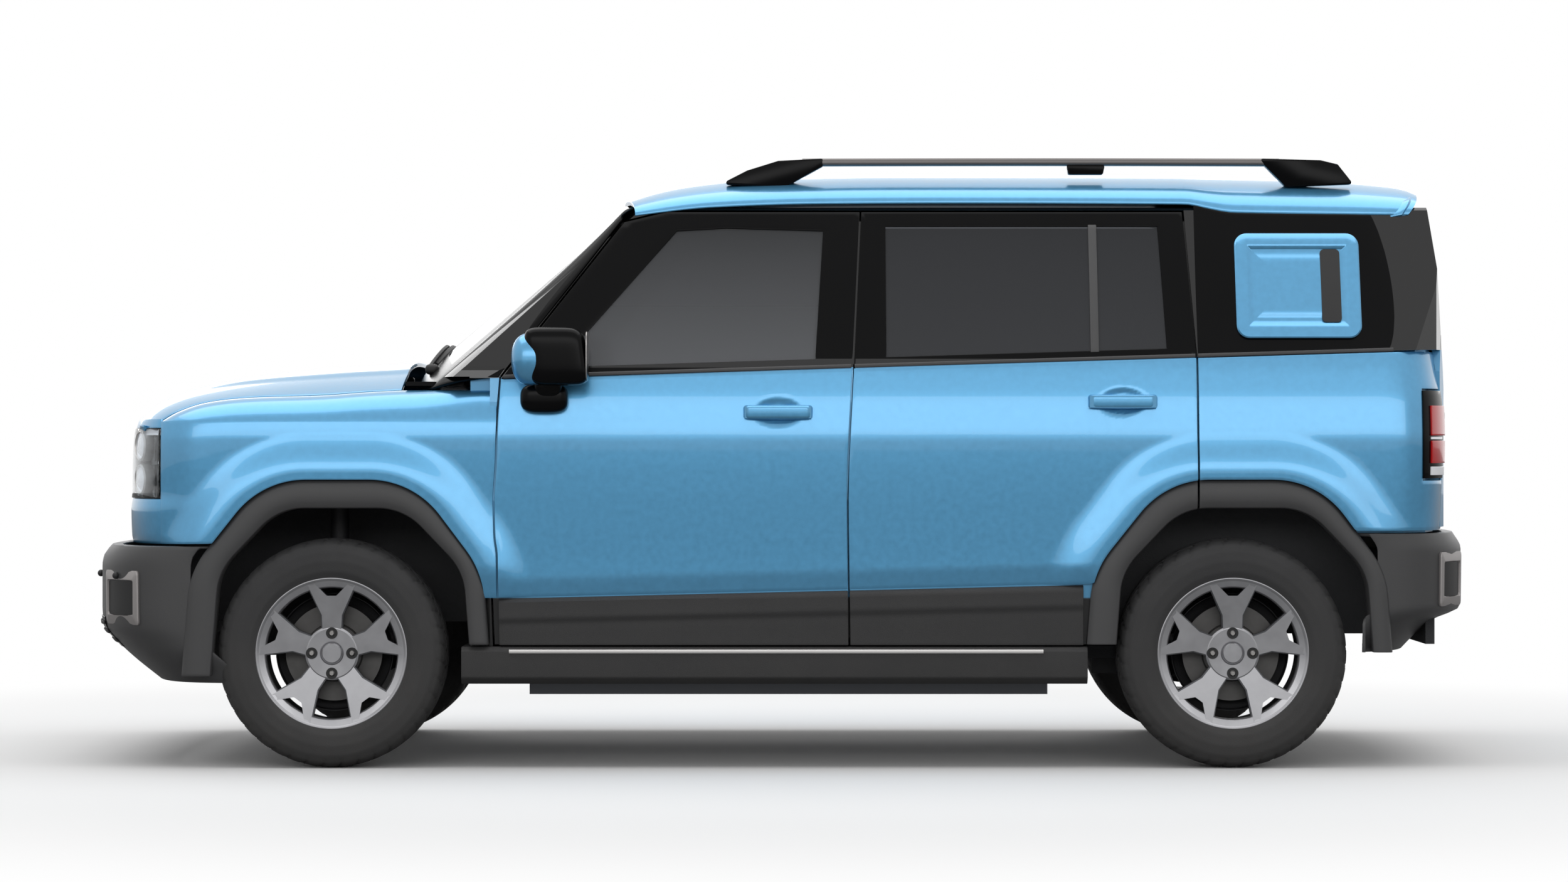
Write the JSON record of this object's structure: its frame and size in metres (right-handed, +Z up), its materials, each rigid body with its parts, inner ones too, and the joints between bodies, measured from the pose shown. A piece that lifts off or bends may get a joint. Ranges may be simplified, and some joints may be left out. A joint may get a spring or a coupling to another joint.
{
  "type": "compact sport utility vehicle",
  "caption": "Small boxy passenger vehicle with side doors, a side-hinged tailgate, roof rails, dark lower cladding and large wheels.",
  "frame": {"origin": "on the ground under the middle of the overall box", "axes": "+X to the nose, +Y to the vehicle's left, +Z up"},
  "size_m": [4.002, 2, 1.748],
  "materials": {
    "paint": "metallic light blue, clear coated",
    "gloss_black": "polished black",
    "cladding": "grained dark grey",
    "silver_trim": "silver grey",
    "glass": "dark tinted",
    "lamp_clear": "clear cover",
    "lamp_red": "red cover",
    "tyre": "treaded",
    "wheel_alloy": "dark grey, machined look",
    "chassis": "black coated",
    "battery": "coated",
    "floor": "dark sealed",
    "seat": "dark grained",
    "dash": "grained dark",
    "plate": "blank"
  },
  "bodies": {
    "body": {"side_frames": "gloss_black", "rear_quarters": "paint", "tail_lamps": "lamp_red", "wheelhouses": "floor", "roof": "paint", "windscreen": "glass", "cowl": "cladding", "front_fenders": "paint", "front_panel": "paint", "head_lamps": "lamp_clear", "grille": "gloss_black", "front_bumper": "cladding", "rear_bumper": "cladding", "bumper_hoops": "silver_trim", "arch_trims": "cladding", "rockers": "cladding", "roof_rails": "silver_trim", "side_boxes": "paint", "floor": "floor", "front_frame": "floor", "battery_pack": "battery", "drive_unit": "chassis", "front_suspension": "chassis", "rear_axle": "chassis", "front_seats": "seat", "rear_seat": "seat", "dashboard": "dash", "plates": "plate"},
    "door_front_left": {"door_front_left": "paint", "door_glass_front_left": "glass", "door_cladding_front_left": "cladding", "mirror_left": "gloss_black"},
    "door_rear_left": {"door_rear_left": "paint", "door_glass_rear_left": "glass", "door_cladding_rear_left": "cladding"},
    "knuckle_left": {"knuckle_left": "chassis"},
    "wheel_front_left": {"wheel_front_left": "wheel_alloy", "tyre_front_left": "tyre"},
    "wheel_rear_left": {"wheel_rear_left": "wheel_alloy", "tyre_rear_left": "tyre"},
    "door_front_right": {"door_front_right": "paint", "door_glass_front_right": "glass", "door_cladding_front_right": "cladding", "mirror_right": "gloss_black"},
    "door_rear_right": {"door_rear_right": "paint", "door_glass_rear_right": "glass", "door_cladding_rear_right": "cladding"},
    "knuckle_right": {"knuckle_right": "chassis"},
    "wheel_front_right": {"wheel_front_right": "wheel_alloy", "tyre_front_right": "tyre"},
    "wheel_rear_right": {"wheel_rear_right": "wheel_alloy", "tyre_rear_right": "tyre"},
    "hood": {"hood": "paint"},
    "tailgate": {"tailgate": "paint", "tailgate_glass": "glass"},
    "steering_wheel": {"steering_wheel": "dash"}
  },
  "joints": [
    {"name": "front_door_left", "type": "hinge", "parent": "body", "child": "door_front_left", "pos_m": [0.792, 0.85, 0.7], "axis": [0, 0, -1], "range_deg": [0, 68]},
    {"name": "rear_door_left", "type": "hinge", "parent": "body", "child": "door_rear_left", "pos_m": [-0.222, 0.85, 0.7], "axis": [0, 0, -1], "range_deg": [0, 70]},
    {"name": "front_door_right", "type": "hinge", "parent": "body", "child": "door_front_right", "pos_m": [0.792, -0.85, 0.7], "axis": [0, 0, 1], "range_deg": [0, 68]},
    {"name": "rear_door_right", "type": "hinge", "parent": "body", "child": "door_rear_right", "pos_m": [-0.222, -0.85, 0.7], "axis": [0, 0, 1], "range_deg": [0, 70]},
    {"name": "hood_hinge", "type": "hinge", "parent": "body", "child": "hood", "pos_m": [1.1, 0, 1.11], "axis": [0, -1, 0], "range_deg": [0, 50]},
    {"name": "tailgate_hinge", "type": "hinge", "parent": "body", "child": "tailgate", "pos_m": [-1.914, -0.664, 1], "axis": [0, 0, 1], "range_deg": [0, 90]},
    {"name": "steer_left", "type": "hinge", "parent": "body", "child": "knuckle_left", "pos_m": [1.278, 0.67, 0.326], "axis": [0, 0, 1], "range_deg": [-33, 33]},
    {"name": "steer_right", "type": "hinge", "parent": "body", "child": "knuckle_right", "pos_m": [1.278, -0.67, 0.326], "axis": [0, 0, 1], "range_deg": [-33, 33]},
    {"name": "steering_column", "type": "hinge", "parent": "body", "child": "steering_wheel", "pos_m": [0.5, 0.37, 1.085], "axis": [-0.9063, 0, 0.4226], "range_deg": [-462, 462]},
    {"name": "spin_front_left", "type": "hinge", "parent": "knuckle_left", "child": "wheel_front_left", "pos_m": [1.278, 0.762, 0.326], "axis": [0, 1, 0], "continuous": true},
    {"name": "spin_rear_left", "type": "hinge", "parent": "body", "child": "wheel_rear_left", "pos_m": [-1.282, 0.762, 0.326], "axis": [0, 1, 0], "continuous": true},
    {"name": "spin_front_right", "type": "hinge", "parent": "knuckle_right", "child": "wheel_front_right", "pos_m": [1.278, -0.762, 0.326], "axis": [0, 1, 0], "continuous": true},
    {"name": "spin_rear_right", "type": "hinge", "parent": "body", "child": "wheel_rear_right", "pos_m": [-1.282, -0.762, 0.326], "axis": [0, 1, 0], "continuous": true}
  ],
  "couplings": [
    {"joint": "steer_right", "follows": "steer_left", "ratio": 1},
    {"joint": "steering_column", "follows": "steer_left", "ratio": 14}
  ]
}
